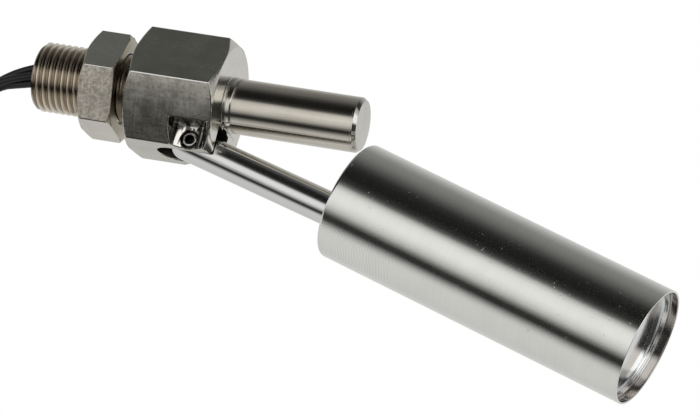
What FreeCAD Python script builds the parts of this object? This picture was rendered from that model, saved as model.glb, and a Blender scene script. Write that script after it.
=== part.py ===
"""Side-mounted stainless float level switch.

Frame: origin at the centre of the hexagon's shoulder, on the thread axis.
+X runs along the stem into the tank, +Z is up, and the float hangs below the stem on the -Z side.
Lengths are millimetres, angles degrees.
"""
import FreeCAD
import Part
import math
import os
from FreeCAD import Vector as V, Placement, Rotation

os.makedirs("parts", exist_ok=True)

X, Y, Z = V(1, 0, 0), V(0, 1, 0), V(0, 0, 1)

# ---- clearances
SEAT = 0.05            # gap between pieces of one body that are fitted together
RUN = 0.05             # radial running clearance of the pivot and of the nut on its thread

# ---- hexagon body and mounting stud
HEX_AF = 27.0
HEX_LEN = 21.4
HEX_FACE_INSET = 0.25  # the turned end circle is this much smaller than the flats, per side
CHAMFER_DEG = 30.0
STUD_R = 8.0
STUD_LEN = 24.4
STUD_LEAD_IN = 1.0
RELIEF_R = 7.0
RELIEF_LEN = 2.3
BORE_R = 4.2
BORE_MOUTH_FLARE = 0.5

# ---- stem
STEM_R = 6.35
STEM_WALL = 0.9
STEM_REACH = 32.0      # from the hexagon's end face to the stem's end
STEM_DISC_T = 1.25
STEM_DISC_CHAMFER_IN = 0.65
STEM_DISC_CHAMFER_LEN = 1.2
STEM_DISC_SPIGOT = 2.0
BOSS_LEN = 1.9
BOSS_SPIGOT_LEN = 3.6

# ---- lock nut
NUT_AF = 22.0
NUT_T = 8.4
NUT_GAP = 3.4          # from the shoulder to the nut where it is left on the thread
NUT_TURN_DEG = -3.7
NUT_FACE_INSET = 0.15

# ---- pivot, its slot and the two milled pockets
PIVOT_X = 15.8
PIVOT_DROP = 11.1      # pivot axis below the stem axis
PIVOT_R = 2.0
PIVOT_LEN = 11.8
PIVOT_END_CHAMFER = 0.55
SOCKET_AF = 2.0
SOCKET_DEPTH = 2.0
SLOT_SIDE_GAP = 0.4
SLOT_END_X = 7.2
SLOT_CEILING_GAP = 0.9 # above the level arm
POCKET_R = 4.5
POCKET_FLOOR_Y = 5.7
POCKET_CEILING_Z = 7.9

# ---- float arm
ARM_R = 3.9
ARM_TAIL = 2.2         # centre of the round tail, beyond the pivot
ARM_REACH = 38.9       # pivot to the float's front face, along the arm
ARM_SPIGOT_R = 3.0
ARM_SPIGOT_LEN = 3.2
REST_DEG = 15.4        # arm below level, as it hangs

# ---- float
FLOAT_R = 13.8
FLOAT_LEN = 77.0
FLOAT_WALL = 0.5
FLOAT_RISE = 3.7       # float axis above the arm axis
FLOAT_TILT_DEG = 1.5   # float axis against the arm axis
FLOAT_EDGE_R = 1.2
FRONT_CAP_T = 0.8
FRONT_CAP_SKIRT = 3.5
REAR_RECESS = 3.2
REAR_CAP_T = 0.7
REAR_FLANGE_H = 1.3

# ---- magnet in the float's nose, in line with the stem when the float is up
MAGNET_R = 4.5
MAGNET_LEN = 5.0
MAGNET_RISE = 7.0      # above the float axis
HOLDER_WALL = 0.9

# ---- reed switch inside the stem
CARRIER_END_GAP = 1.0
CARRIER_START_GAP = 0.3
CARRIER_WALL = 1.0
GLASS_R = 1.35
GLASS_WALL = 0.3
GLASS_LEN = 14.0
GLASS_SEAL = 2.0
GLASS_RISE = 0.0
BLADE_R = 0.25
BLADE_SPACE = 0.65
BLADE_FLAT_T = 0.2
BLADE_FLAT_W = 1.0
BLADE_TAIL = 4.0
SLEEVE_R = 0.6
SLEEVE_LEN = 4.5
RETURN_WIRE_R = 0.25
RETURN_WIRE_DEPTH = 0.75   # below the carrier's surface
RETURN_GROOVE_GAP = 0.15
RETURN_TAIL = 0.3      # short of the carrier's mouth
POTTING_LEN = 14.0
POTTING_RECESS = 1.2

# ---- flying leads: three, 300 mm long with the coil
LEAD_D = 1.8
LEAD_PITCH = 1.9
COIL_TURNS = 4
COIL_MID_R = 10.0
COIL_X = -53.35
COIL_Z = -30.0
TIE_T = 1.0
TIE_W = 3.0
TIE_GAP = 0.1
LEAD_END_R = 0.55
LEAD_END_LEN = 6.0
# route points of each lead, from inside the bore to the coil's outer turn
LEAD_ROUTES = {
    "lead_common": [
        (-21.5, 0.30, 2.30), (-27.0, 0.40, 2.55), (-32.9, 1.00, -0.50), (-37.5, 1.60, -5.6),
        (-40.0, 1.88, -12.5), (-40.5, 1.90, -20.0), (-40.5, 1.90, -26.5)],
    "lead_no": [
        (-21.5, -0.35, 0.00), (-27.0, -0.55, 0.62), (-32.9, -1.30, -1.95), (-37.5, -1.75, -6.4),
        (-40.0, -1.88, -12.9), (-40.5, -1.90, -20.0), (-40.5, -1.90, -26.5)],
    "lead_nc": [
        (-21.5, 0.30, -1.90), (-27.0, 0.45, -1.35), (-32.3, 0.35, -3.35), (-36.9, 0.00, -7.3),
        (-39.9, -0.02, -13.3), (-40.5, 0.00, -20.3), (-40.5, 0.00, -26.5)],
}

# ---- derived
HEX_R = HEX_AF / math.sqrt(3)
HEX_FACE_R = HEX_AF / 2 - HEX_FACE_INSET
NUT_R = NUT_AF / math.sqrt(3)
NUT_FACE_R = NUT_AF / 2 - NUT_FACE_INSET
PIVOT_Z = -PIVOT_DROP
SLOT_W = 2 * (ARM_R + SLOT_SIDE_GAP)
SLOT_CEILING_Z = PIVOT_Z + ARM_R + SLOT_CEILING_GAP
STEM_BORE_R = STEM_R - STEM_WALL
BOSS_END_X = HEX_LEN + BOSS_LEN
STEM_END_X = HEX_LEN + STEM_REACH
STEM_TUBE_END_X = STEM_END_X - STEM_DISC_T
CARRIER_END_X = STEM_TUBE_END_X - STEM_DISC_SPIGOT - CARRIER_END_GAP
CARRIER_START_X = BOSS_END_X + BOSS_SPIGOT_LEN + CARRIER_START_GAP
CARRIER_LEN = CARRIER_END_X - CARRIER_START_X
GLASS_END_X = CARRIER_END_X - BLADE_TAIL / 2
GLASS_START_X = GLASS_END_X - GLASS_LEN
PIVOT = V(PIVOT_X, 0, PIVOT_Z)


def solid_of(shape):
    """The one solid of a shape, without leftover seams."""
    shape = shape.removeSplitter()
    if len(shape.Solids) != 1:
        raise ValueError("expected one solid, got %d" % len(shape.Solids))
    return shape.Solids[0]


def cyl(r, start, length, axis=X):
    """Cylinder of radius r from start, along axis."""
    return Part.makeCylinder(r, length, start, axis)


def tube(r, bore_r, x0, length):
    """Tube on the stem axis."""
    return cyl(r, V(x0, 0, 0), length).cut(cyl(bore_r, V(x0 - 1, 0, 0), length + 2))


def revolve_x(points):
    """Solid turned about the X axis from an outline of (x, r) points."""
    face = Part.Face(Part.makePolygon([V(x, 0, r) for x, r in points] + [V(points[0][0], 0, points[0][1])]))
    return face.revolve(V(0, 0, 0), X, 360)


def hex_prism(corner_r, x0, length, turn_deg=0.0):
    """Hexagon bar along X with corners at +-Y when turn_deg is 0."""
    corners = [V(x0, corner_r * math.cos(math.radians(60 * k + turn_deg)),
                 corner_r * math.sin(math.radians(60 * k + turn_deg))) for k in range(6)]
    return Part.Face(Part.makePolygon(corners + corners[:1])).extrude(V(length, 0, 0))


def turned_hex(corner_r, face_r, x0, length, turn_deg=0.0):
    """Hexagon whose two ends are turned to a chamfer circle of radius face_r."""
    run = (corner_r - face_r) * math.tan(math.radians(CHAMFER_DEG))
    over = 1.0
    top = corner_r + over
    rise = over * math.tan(math.radians(CHAMFER_DEG))
    envelope = revolve_x([(x0, 0), (x0, face_r), (x0 + run + rise, top),
                          (x0 + length - run - rise, top), (x0 + length, face_r), (x0 + length, 0)])
    return hex_prism(corner_r, x0, length, turn_deg).common(envelope)


def cone_cut(r, x, depth, outward):
    """Chamfer cutter for a hole mouth at x; outward is the direction that leaves the hole."""
    return Part.makeCone(r, r + depth + 0.2, depth + 0.2, V(x - outward * depth, 0, 0), V(outward, 0, 0))


def in_arm_frame(shape, deg=REST_DEG):
    """Shape drawn with the pivot at the origin and the arm along +X, hung at deg below level."""
    turned = shape.copy()
    turned.Placement = Placement(PIVOT, Rotation(Y, deg)).multiply(turned.Placement)
    return turned


def in_float_frame(shape):
    """Shape drawn with the float's front face at x = 0 on the float axis."""
    placed = shape.copy()
    placed.Placement = Placement(V(ARM_REACH, 0, FLOAT_RISE), Rotation(Y, FLOAT_TILT_DEG)).multiply(
        placed.Placement)
    return in_arm_frame(placed)


def hex_body():
    """One turned and milled piece: stud, hexagon, boss and stem spigot, with slot and pockets."""
    body = turned_hex(HEX_R, HEX_FACE_R, 0, HEX_LEN)
    body = body.cut(arm_slot())
    for side in (-1, 1):
        body = body.cut(pivot_pocket(side))
    stud = revolve_x([
        (-STUD_LEN, 0), (-STUD_LEN, STUD_R - STUD_LEAD_IN), (-STUD_LEN + STUD_LEAD_IN, STUD_R),
        (-RELIEF_LEN, STUD_R), (-RELIEF_LEN, RELIEF_R), (0.5, RELIEF_R), (0.5, 0)])
    boss = cyl(STEM_R, V(HEX_LEN - 0.4, 0, 0), BOSS_LEN + 0.4)
    spigot = cyl(STEM_BORE_R - SEAT, V(HEX_LEN, 0, 0), BOSS_LEN + BOSS_SPIGOT_LEN)
    body = body.fuse(stud).fuse(boss.cut(arm_slot())).fuse(spigot)
    length = STUD_LEN + BOSS_END_X + BOSS_SPIGOT_LEN
    body = body.cut(cyl(BORE_R, V(-STUD_LEN - 1, 0, 0), length + 2))
    body = body.cut(cone_cut(BORE_R, -STUD_LEN, BORE_MOUTH_FLARE, -1))
    body = body.cut(cyl(PIVOT_R + SEAT, V(PIVOT_X, -HEX_R, PIVOT_Z), 2 * HEX_R, Y))
    return solid_of(body)


def arm_slot():
    """Slot for the arm, milled into the bottom flat, round at its blind end, open at the stem end."""
    depth = HEX_AF
    centre_x = SLOT_END_X + SLOT_W / 2
    end = cyl(SLOT_W / 2, V(centre_x, 0, SLOT_CEILING_Z - depth), depth, Z)
    run = Part.makeBox(HEX_LEN + 1 - centre_x, SLOT_W, depth,
                       V(centre_x, -SLOT_W / 2, SLOT_CEILING_Z - depth))
    return end.fuse(run)


def pivot_pocket(side):
    """Round-bottomed pocket milled into the lower corner at the pivot's end."""
    depth = HEX_AF
    z0 = -POCKET_CEILING_Z - depth
    centre_y = POCKET_FLOOR_Y + POCKET_R
    bottom = cyl(POCKET_R, V(PIVOT_X, side * centre_y, z0), depth, Z)
    y0 = centre_y if side > 0 else -centre_y - HEX_R
    mouth = Part.makeBox(2 * POCKET_R, HEX_R, depth, V(PIVOT_X - POCKET_R, y0, z0))
    return bottom.fuse(mouth)


def lock_nut():
    """Thin hexagon nut with both ends turned and its bore countersunk."""
    x0 = -NUT_GAP - NUT_T
    nut = turned_hex(NUT_R, NUT_FACE_R, x0, NUT_T, NUT_TURN_DEG)
    bore_r = STUD_R + RUN
    nut = nut.cut(cyl(bore_r, V(x0 - 1, 0, 0), NUT_T + 2))
    for x, out in ((x0, -1), (x0 + NUT_T, 1)):
        nut = nut.cut(cone_cut(bore_r, x, 0.5, out))
    return solid_of(nut)


def stem_tube():
    """Drawn tube butted to the boss."""
    return solid_of(tube(STEM_R, STEM_BORE_R, BOSS_END_X, STEM_TUBE_END_X - BOSS_END_X))


def stem_end_disc():
    """Closing disc with a chamfered rim and a spigot in the tube."""
    spigot_r = STEM_BORE_R - SEAT
    return solid_of(revolve_x([
        (STEM_TUBE_END_X - STEM_DISC_SPIGOT, 0), (STEM_TUBE_END_X - STEM_DISC_SPIGOT, spigot_r),
        (STEM_TUBE_END_X, spigot_r), (STEM_TUBE_END_X, STEM_R),
        (STEM_END_X - STEM_DISC_CHAMFER_LEN, STEM_R), (STEM_END_X, STEM_R - STEM_DISC_CHAMFER_IN),
        (STEM_END_X, 0)]))


def pivot_screw():
    """Headless screw across the slot, with a hexagon socket in its near end."""
    half = PIVOT_LEN / 2
    c = PIVOT_END_CHAMFER
    outline = [(-half, 0), (-half, PIVOT_R - c), (-half + c, PIVOT_R), (half - c, PIVOT_R),
               (half, PIVOT_R - c), (half, 0)]
    face = Part.Face(Part.makePolygon([V(r, y, 0) for y, r in outline] + [V(0, -half, 0)]))
    screw = face.revolve(V(0, 0, 0), Y, 360)
    corner = SOCKET_AF / math.sqrt(3)
    pts = [V(corner * math.cos(math.radians(60 * k)), -half - 0.1, corner * math.sin(math.radians(60 * k)))
           for k in range(6)]
    socket = Part.Face(Part.makePolygon(pts + pts[:1])).extrude(V(0, SOCKET_DEPTH + 0.1, 0))
    screw = screw.cut(socket)
    screw.translate(PIVOT)
    return solid_of(screw)


def float_arm():
    """Round bar with a ball-ended tail, drilled for the pivot, with a spigot for the float."""
    bar = cyl(ARM_R, V(-ARM_TAIL, 0, 0), ARM_TAIL + ARM_REACH)
    tail = Part.makeSphere(ARM_R, V(-ARM_TAIL, 0, 0))
    arm = in_arm_frame(bar.fuse(tail)).cut(front_clearance())
    arm = arm.fuse(in_arm_frame(cyl(ARM_SPIGOT_R, V(ARM_REACH - 2, 0, 0), 2 + ARM_SPIGOT_LEN)))
    arm = arm.cut(cyl(PIVOT_R + RUN, V(PIVOT_X, -HEX_R, PIVOT_Z), 2 * HEX_R, Y))
    return solid_of(arm)


def front_clearance():
    """Everything behind the float's front face, which the bar butts against."""
    return in_float_frame(cyl(3 * FLOAT_R, V(0, 0, 0), 3 * FLOAT_R))


def arm_hole():
    """Hole for the arm's spigot, square to the arm."""
    return in_arm_frame(cyl(ARM_SPIGOT_R + SEAT, V(ARM_REACH - 5, 0, 0), 12))


def float_front_cap():
    """Drawn cap with a rolled edge; its skirt sits in the shell."""
    r, w = FLOAT_R, FLOAT_WALL
    cap = cyl(r, V(0, 0, 0), FLOAT_EDGE_R + FRONT_CAP_T)
    rim = [e for e in cap.Edges if abs(e.BoundBox.XMax) < 1e-6 and e.Closed]
    cap = cap.makeFillet(FLOAT_EDGE_R, rim)
    skirt_r = r - w - SEAT
    cap = cap.fuse(cyl(skirt_r, V(FRONT_CAP_T, 0, 0), FLOAT_EDGE_R + FRONT_CAP_SKIRT))
    cap = cap.cut(cyl(skirt_r - w, V(FRONT_CAP_T, 0, 0), 3 * FRONT_CAP_SKIRT))
    return solid_of(in_float_frame(cap).cut(arm_hole()))


def float_shell():
    """Thin tube from the front cap's edge to the open rear rim."""
    x0 = FLOAT_EDGE_R + FRONT_CAP_T
    return solid_of(in_float_frame(tube(FLOAT_R, FLOAT_R - FLOAT_WALL, x0, FLOAT_LEN - x0)))


def float_rear_cap():
    """Flat cap set back inside the rim, with an upstanding flange."""
    r = FLOAT_R - FLOAT_WALL - SEAT
    x_out = FLOAT_LEN - REAR_RECESS
    t = REAR_CAP_T
    cap = revolve_x([
        (x_out, 0), (x_out, r - t), (x_out + REAR_FLANGE_H, r - t), (x_out + REAR_FLANGE_H, r),
        (x_out - t, r), (x_out - t, 0)])
    return solid_of(in_float_frame(cap))


def magnet_holder():
    """Cup fixed to the inside of the front cap."""
    r = MAGNET_R + SEAT
    cup = cyl(r + HOLDER_WALL, V(FRONT_CAP_T, 0, MAGNET_RISE), MAGNET_LEN + SEAT + HOLDER_WALL)
    cup = cup.cut(cyl(r, V(FRONT_CAP_T - 1, 0, MAGNET_RISE), MAGNET_LEN + SEAT + 1))
    return solid_of(in_float_frame(cup))


def float_magnet():
    """Disc magnet against the front cap."""
    return solid_of(in_float_frame(cyl(MAGNET_R, V(FRONT_CAP_T, 0, MAGNET_RISE), MAGNET_LEN)))


def reed_carrier():
    """Moulded sleeve that centres the reed capsule in the stem."""
    outer = STEM_BORE_R - SEAT
    hold = GLASS_R + SEAT
    body = cyl(outer, V(CARRIER_START_X, 0, 0), CARRIER_LEN)
    body = body.cut(cyl(hold, V(GLASS_START_X, 0, GLASS_RISE), GLASS_LEN))
    well_r = outer - CARRIER_WALL
    body = body.cut(cyl(well_r, V(CARRIER_START_X - 1, 0, 0), GLASS_START_X - CARRIER_START_X + 1))
    body = body.cut(cyl(well_r, V(GLASS_END_X, 0, 0), CARRIER_END_X - GLASS_END_X + 1))
    half = RETURN_WIRE_R + RETURN_GROOVE_GAP
    z0 = outer - RETURN_WIRE_DEPTH - half
    body = body.cut(Part.makeBox(CARRIER_LEN + 2, 2 * half, outer, V(CARRIER_START_X - 1, -half, z0)))
    return solid_of(body)


def return_wire():
    """Formed wire that brings the common blade back over the capsule in the carrier's groove."""
    r = RETURN_WIRE_R
    z = STEM_BORE_R - SEAT - RETURN_WIRE_DEPTH
    x_out = GLASS_END_X + BLADE_TAIL / 2 + r
    route = [(x_out, 0, GLASS_RISE - r), (x_out, 0, z), (CARRIER_START_X + RETURN_TAIL, 0, z)]
    wire, _, _ = round_path(route, RETURN_WIRE_R * 4)
    ring = Part.Wire(Part.Circle(V(*route[0]), Z, r).toShape())
    return solid_of(wire.makePipeShell([ring], True, False))


def reed_glass():
    """Sealed glass capsule with the blades' ways through its two ends."""
    glass = cyl(GLASS_R, V(GLASS_START_X, 0, GLASS_RISE), GLASS_LEN)
    room = cyl(GLASS_R - GLASS_WALL, V(GLASS_START_X + GLASS_SEAL, 0, GLASS_RISE), GLASS_LEN - 2 * GLASS_SEAL)
    glass = glass.cut(room)
    for name in BLADES:
        glass = glass.cut(blade_wire(name, SEAT / 2))
    return solid_of(glass)


# which end each blade leaves by (-1 towards the stud) and its height in the capsule
BLADES = {"reed_blade_common": (1, 0.0), "reed_blade_no": (-1, 1.0), "reed_blade_nc": (-1, -1.0)}


def blade_wire(name, grow=0.0):
    """Round tail of a blade, through the seal and out of the capsule."""
    end, lane = BLADES[name]
    z = GLASS_RISE + lane * BLADE_SPACE
    if end > 0:
        x0, x1 = GLASS_END_X - GLASS_SEAL - 1.0, GLASS_END_X + BLADE_TAIL / 2 - SEAT
    else:
        x0, x1 = GLASS_START_X - BLADE_TAIL, GLASS_START_X + GLASS_SEAL + 1.0
    return cyl(BLADE_R + grow, V(x0 - grow, 0, z), x1 - x0 + 2 * grow)


def reed_blade(name):
    """Round tail and flat contact tongue of one blade."""
    end, lane = BLADES[name]
    z = GLASS_RISE + lane * BLADE_SPACE
    mid = (GLASS_START_X + GLASS_END_X) / 2
    overlap = 1.2
    if end > 0:
        x0, x1 = mid - overlap, GLASS_END_X - GLASS_SEAL - 0.5
    else:
        x0, x1 = GLASS_START_X + GLASS_SEAL + 0.5, mid + overlap
    tongue = Part.makeBox(x1 - x0, BLADE_FLAT_W, BLADE_FLAT_T, V(x0, -BLADE_FLAT_W / 2, z - BLADE_FLAT_T / 2))
    return solid_of(blade_wire(name).fuse(tongue))


def solder_sleeve(z):
    """Heat-shrink sleeve over the joint of a lead core and a blade's tail."""
    x1 = GLASS_START_X - 0.4
    sleeve = cyl(SLEEVE_R, V(x1 - SLEEVE_LEN, 0, z), SLEEVE_LEN)
    return solid_of(sleeve.cut(cyl(BLADE_R + SEAT, V(x1 - SLEEVE_LEN - 1, 0, z), SLEEVE_LEN + 2)))


def potting_plug():
    """Resin in the stud's bore, cast round the three leads."""
    r = BORE_R - SEAT / 2
    x0 = -STUD_LEN + POTTING_RECESS
    return solid_of(cyl(r, V(x0, 0, 0), POTTING_LEN).cut(lead_ways(x0)))


def lead_ways(x0):
    """Holes in the resin's outer face for the ends of the leads."""
    ways = []
    for points in LEAD_ROUTES.values():
        start, nxt = V(*points[0]), V(*points[1])
        along = (nxt - start).normalize()
        ways.append(cyl(LEAD_D / 2 + SEAT / 2, start, (nxt - start).Length, along))
    return ways[0].fuse(ways[1]).fuse(ways[2])


def round_path(points, set_radius=None):
    """Straight runs joined by tangent arcs, each as large as its runs allow unless a radius is set.

    Returns the wire, its length and the arc radii.
    """
    pts = [V(*p) for p in points]
    edges, radii, length = [], [], 0.0
    at = pts[0]
    for a, b, c in zip(pts, pts[1:], pts[2:]):
        u, w = (b - a).normalize(), (c - b).normalize()
        turn = u.getAngle(w)
        cut = 0.45 * min((b - a).Length, (c - b).Length)
        if set_radius:
            cut = set_radius * math.tan(turn / 2)
        r = cut / math.tan(turn / 2)
        p0, p1 = b - u * cut, b + w * cut
        inward = (w - u).normalize()
        mid = b + inward * (r / math.cos(turn / 2) - r)
        edges.append(Part.LineSegment(at, p0).toShape())
        edges.append(Part.Arc(p0, mid, p1).toShape())
        length += (p0 - at).Length + r * turn
        radii.append(r)
        at = p1
    edges.append(Part.LineSegment(at, pts[-1]).toShape())
    length += (pts[-1] - at).Length
    return Part.Wire(edges), length, radii


def lead(name):
    """One insulated lead from the resin to the coil."""
    points = LEAD_ROUTES[name]
    wire, length, radii = round_path(points)
    start = V(*points[0])
    along = (V(*points[1]) - start).normalize()
    ring = Part.Wire(Part.Circle(start, along, LEAD_D / 2).toShape())
    body = wire.makePipeShell([ring], True, False)
    ideal = math.pi * (LEAD_D / 2) ** 2 * length
    print("%s: %.1f mm, volume off by %.3f %%, arc radii %s" % (
        name, length, 100 * (body.Volume / ideal - 1), [round(r, 1) for r in radii]))
    return solid_of(body)


def coil_radii():
    """Inner and outer radius of the wound coil."""
    half = COIL_TURNS * LEAD_PITCH / 2
    return COIL_MID_R - half, COIL_MID_R + half


def lead_coil():
    """The rest of the three leads, wound side by side into one flat coil."""
    inner, outer = coil_radii()
    width = len(LEAD_ROUTES) * LEAD_PITCH
    start = V(COIL_X, -width / 2, COIL_Z)
    return solid_of(cyl(outer, start, width, Y).cut(cyl(inner, start - Y, width + 2, Y)))


def coil_tie():
    """Strap round the coil's section, at its lowest point."""
    inner, outer = coil_radii()
    half_y = len(LEAD_ROUTES) * LEAD_PITCH / 2 + TIE_GAP
    low = COIL_Z - outer - TIE_GAP - 0.1
    high = COIL_Z - math.sqrt(inner ** 2 - (TIE_W / 2) ** 2) + TIE_GAP + 0.1
    hole = Part.makeBox(TIE_W + 2, 2 * half_y, high - low, V(COIL_X - TIE_W / 2 - 1, -half_y, low))
    strap = Part.makeBox(TIE_W, 2 * (half_y + TIE_T), high - low + 2 * TIE_T,
                         V(COIL_X - TIE_W / 2, -half_y - TIE_T, low - TIE_T))
    return solid_of(strap.cut(hole))


def lead_end(name):
    """Tinned end of one lead, in the eye of the coil."""
    inner, _ = coil_radii()
    y = LEAD_ROUTES[name][-1][1]
    x = COIL_X + inner - LEAD_END_R - TIE_GAP - 0.7
    return solid_of(cyl(LEAD_END_R, V(x, y, COIL_Z - LEAD_END_LEN / 2), LEAD_END_LEN, Z))


def build():
    """Every named piece of the switch."""
    pieces = {
        "hex_body": hex_body(),
        "lock_nut": lock_nut(),
        "stem_tube": stem_tube(),
        "stem_end_disc": stem_end_disc(),
        "pivot_screw": pivot_screw(),
        "float_arm": float_arm(),
        "float_shell": float_shell(),
        "float_front_cap": float_front_cap(),
        "float_rear_cap": float_rear_cap(),
        "magnet_holder": magnet_holder(),
        "float_magnet": float_magnet(),
        "reed_carrier": reed_carrier(),
        "reed_glass": reed_glass(),
        "return_wire": return_wire(),
        "potting_plug": potting_plug(),
        "lead_coil": lead_coil(),
        "coil_tie": coil_tie(),
    }
    for name in BLADES:
        pieces[name] = reed_blade(name)
    for tag, lane in (("no", 1.0), ("nc", -1.0)):
        pieces["solder_sleeve_" + tag] = solder_sleeve(GLASS_RISE + lane * BLADE_SPACE)
    for name in LEAD_ROUTES:
        pieces[name] = lead(name)
        pieces[name.replace("lead_", "lead_end_")] = lead_end(name)
    return pieces


for node, shape in build().items():
    if not shape.isValid():
        raise ValueError("%s is not valid" % node)
    shape.exportStep("parts/%s.step" % node)
    print("%-20s volume %.1f mm3" % (node, shape.Volume))
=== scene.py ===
"""Looks of a side-mounted stainless float level switch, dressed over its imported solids.

Lengths in the classes are millimetres, as on the shop drawing; meshes are made in metres.
Frame: origin at the centre of the hexagon's shoulder, +X along the stem, +Z up, float below.
"""

import logging
from dataclasses import dataclass, field
from enum import Enum
from math import cos, hypot, radians, sin, sqrt, tan, tau
from typing import Any, Callable, Iterable, Sequence

import bmesh
import bpy
from mathutils import Matrix, Vector


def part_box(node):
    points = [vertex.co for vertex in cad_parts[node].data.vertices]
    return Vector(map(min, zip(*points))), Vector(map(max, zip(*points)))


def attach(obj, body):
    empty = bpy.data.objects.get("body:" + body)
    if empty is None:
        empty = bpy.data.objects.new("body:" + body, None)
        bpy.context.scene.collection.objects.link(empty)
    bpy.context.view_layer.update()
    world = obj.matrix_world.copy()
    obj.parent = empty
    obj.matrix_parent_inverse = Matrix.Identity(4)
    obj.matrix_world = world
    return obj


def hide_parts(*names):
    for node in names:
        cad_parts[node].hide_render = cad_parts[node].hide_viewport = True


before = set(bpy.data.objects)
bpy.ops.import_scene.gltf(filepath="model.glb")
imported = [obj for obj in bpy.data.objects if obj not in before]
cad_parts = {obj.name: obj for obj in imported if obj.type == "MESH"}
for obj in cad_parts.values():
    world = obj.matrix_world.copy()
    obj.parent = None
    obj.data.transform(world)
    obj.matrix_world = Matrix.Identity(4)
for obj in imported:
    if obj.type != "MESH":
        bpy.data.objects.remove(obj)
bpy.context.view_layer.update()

LOG = logging.getLogger("float_switch")
MM = 0.001
Point = tuple[float, float, float]
Profile = list[tuple[float, float]]
Stops = Sequence[tuple[float, float]]
Piece = bpy.types.Object
Mesh = bpy.types.Mesh
WorkMesh = bmesh.types.BMesh
Ring = list[bmesh.types.BMVert]
AreaTest = Callable[[Vector, Vector], bool]


class Body(Enum):
    """The rigid bodies of the switch."""

    SWITCH = "switch_body"
    LEVER = "float_lever"
    NUT = "lock_nut"


class Grain(Enum):
    """Which way the tool marks on a steel surface run, by how far each axis is drawn out."""

    ALONG = (0.02, 1.0, 1.0)
    AROUND = (1.0, 0.02, 0.02)
    ACROSS = (1.0, 0.05, 0.05)
    FINE = (1.0, 1.0, 1.0)


# ---------------------------------------------------------------- node trees
class Noise(Enum):
    """Noise textures by scale, detail and roughness."""

    LINES = (3200.0, 2.0, 0.6)
    COARSE = (620.0, 2.0, 0.5)
    CLOUD = (130.0, 3.0, 0.6)
    BLOTCH = (1300.0, 3.0, 0.7)
    CROSSING = (1900.0, 2.0, 0.6)
    SWELL = (300.0, 4.0, 0.6)
    GRIT = (2100.0, 3.0, 0.65)
    PITS = (900.0, 2.0, 0.5)
    WOBBLE = (160.0, 2.0, 0.5)
    PATCHES = (170.0, 2.0, 0.5)
    SKIN = (1.0, 3.0, 0.6)
    HAZE = (90.0, 2.0, 0.5)
    RIPPLE = (260.0, 2.0, 0.5)
    FLOOR = (6.0, 2.0, 0.5)


class Signal:
    """A node socket that takes part in arithmetic."""

    def __init__(self, bench: "Bench", socket: Any) -> None:
        """Keeps the socket and the bench whose tree it is in."""
        self.bench = bench
        self.socket = socket

    def maths(self, operation: str, *others: Any) -> "Signal":
        """The result of a Math node on this signal and others."""
        inputs = {i: v for i, v in enumerate((self, *others))}
        return self.bench.make("ShaderNodeMath", inputs, operation=operation)

    def __add__(self, other: Any) -> "Signal":
        """Sum."""
        return self.maths("ADD", other)

    __radd__ = __add__

    def __mul__(self, other: Any) -> "Signal":
        """Product."""
        return self.maths("MULTIPLY", other)

    __rmul__ = __mul__

    def __sub__(self, other: Any) -> "Signal":
        """Difference."""
        return self.maths("SUBTRACT", other)

    def __rsub__(self, other: Any) -> "Signal":
        """Number less signal."""
        return (self * -1.0) + other

    def __truediv__(self, other: Any) -> "Signal":
        """Quotient."""
        return self.maths("DIVIDE", other)

    def clamped(self, low: float = 0.0, high: float = 1.0) -> "Signal":
        """The signal held between two numbers."""
        return self.maths("MAXIMUM", low).maths("MINIMUM", high)

    def share(self, start: float, end: float) -> "Signal":
        """How far the signal has come from one number to another, from 0 to 1."""
        return ((self - start) / (end - start)).clamped()


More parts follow.
